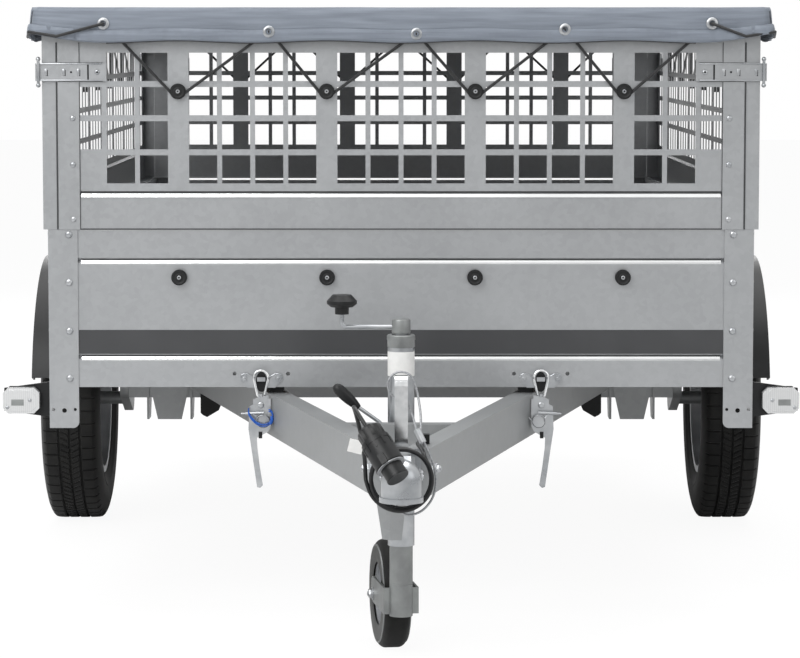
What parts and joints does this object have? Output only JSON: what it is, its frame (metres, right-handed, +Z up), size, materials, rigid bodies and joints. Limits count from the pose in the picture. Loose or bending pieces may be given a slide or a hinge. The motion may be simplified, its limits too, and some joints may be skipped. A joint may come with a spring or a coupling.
{
  "type": "utility trailer",
  "caption": "Single axle box trailer with punched mesh side extension, flat cover, tipping bed, folding tailgate, V drawbar with ball coupling, and jockey wheel",
  "frame": {"origin": "on the floor, in the middle of the whole trailer seen from above", "axes": "X to the right seen from the front, Y from the coupling to the tail, Z up"},
  "size_m": [1.66, 3.4691, 1.1796],
  "materials": {
    "galvanised": "hot dip galvanised sheet, pale grey with soft spangle",
    "zinc_plated": "zinc plated steel, brighter than the sheet",
    "polished_steel": "polished plated steel",
    "wheel_silver": "silver painted disc wheel",
    "tyre_rubber": "black tyre rubber",
    "black_rubber": "moulded black rubber",
    "black_plastic": "moulded black plastic",
    "floor_board": "film faced birch plywood, dark brown",
    "cover_fabric": "coated grey tarpaulin",
    "lamp_clear": "clear ribbed lens",
    "lamp_red": "red ribbed lens"
  },
  "bodies": {
    "chassis": {"drawbar_left": "galvanised", "drawbar_right": "galvanised", "drawbar_cross": "galvanised", "nose_guard": "galvanised", "bed_rests": "black_rubber", "axle_tube": "galvanised", "arm_left": "galvanised", "arm_right": "galvanised", "pivot_brackets": "galvanised", "jockey_tube": "zinc_plated", "jockey_clamp": "zinc_plated", "jockey_crank": "zinc_plated", "crank_knob": "black_plastic", "coupling": "zinc_plated", "coupling_handle": "polished_steel", "release_levers": "zinc_plated", "release_rings": "zinc_plated", "clamp_lever": "zinc_plated", "cable": "black_rubber", "cable_coil": "black_rubber", "cable_gland": "black_plastic", "plug": "black_plastic", "safety_wire": "black_rubber", "wire_ferrule": "zinc_plated"},
    "bed": {"front_posts": "galvanised", "rear_posts": "galvanised", "front_panel": "galvanised", "side_panel_left": "galvanised", "side_panel_right": "galvanised", "front_mesh": "galvanised", "rear_mesh": "galvanised", "side_mesh_left": "galvanised", "side_mesh_right": "galvanised", "side_rails": "galvanised", "cross_rails": "galvanised", "floor": "floor_board", "rear_sill": "galvanised", "pivot_lugs": "galvanised", "mudguard_left": "black_plastic", "mudguard_right": "black_plastic", "cover": "cover_fabric", "cover_bars": "galvanised", "tail_hinges": "zinc_plated", "lamp_arms": "black_rubber", "marker_lamps": "lamp_clear", "rear_lamps": "lamp_red", "cord_buttons": "black_rubber", "mesh_latches": "zinc_plated", "catch_plates": "zinc_plated"},
    "tailgate": {"tailgate_panel": "galvanised", "tailgate_leaves": "zinc_plated", "tailgate_latches": "zinc_plated"},
    "wheel_left": {"tyre_left": "tyre_rubber", "rim_left": "wheel_silver"},
    "wheel_right": {"tyre_right": "tyre_rubber", "rim_right": "wheel_silver"},
    "jockey_leg": {"jockey_inner": "zinc_plated"},
    "jockey_caster": {"jockey_fork": "zinc_plated"},
    "jockey_wheel": {"jockey_tyre": "tyre_rubber", "jockey_hub": "black_plastic"}
  },
  "joints": [
    {"name": "wheel_left_spin", "type": "hinge", "parent": "chassis", "child": "wheel_left", "pos_m": [-0.753, 0.625, 0.281], "axis": [1, 0, 0], "continuous": true},
    {"name": "wheel_right_spin", "type": "hinge", "parent": "chassis", "child": "wheel_right", "pos_m": [0.753, 0.625, 0.281], "axis": [1, 0, 0], "continuous": true},
    {"name": "bed_tilt", "type": "hinge", "parent": "chassis", "child": "bed", "pos_m": [0, 0.625, 0.405], "axis": [-1, 0, 0], "range_deg": [0, 17]},
    {"name": "tailgate_hinge", "type": "hinge", "parent": "bed", "child": "tailgate", "pos_m": [0, 1.693, 0.47], "axis": [-1, 0, 0], "range_deg": [0, 100]},
    {"name": "jockey_lift", "type": "slide", "parent": "chassis", "child": "jockey_leg", "axis": [0, 0, 1], "range_m": [0, 0.065]},
    {"name": "jockey_swivel", "type": "hinge", "parent": "jockey_leg", "child": "jockey_caster", "pos_m": [0, -1.11, 0.1], "axis": [0, 0, 1], "continuous": true},
    {"name": "jockey_roll", "type": "hinge", "parent": "jockey_caster", "child": "jockey_wheel", "pos_m": [-0.02002, -0.98358, 0.1], "axis": [0.9877, 0.1564, 0], "continuous": true}
  ]
}
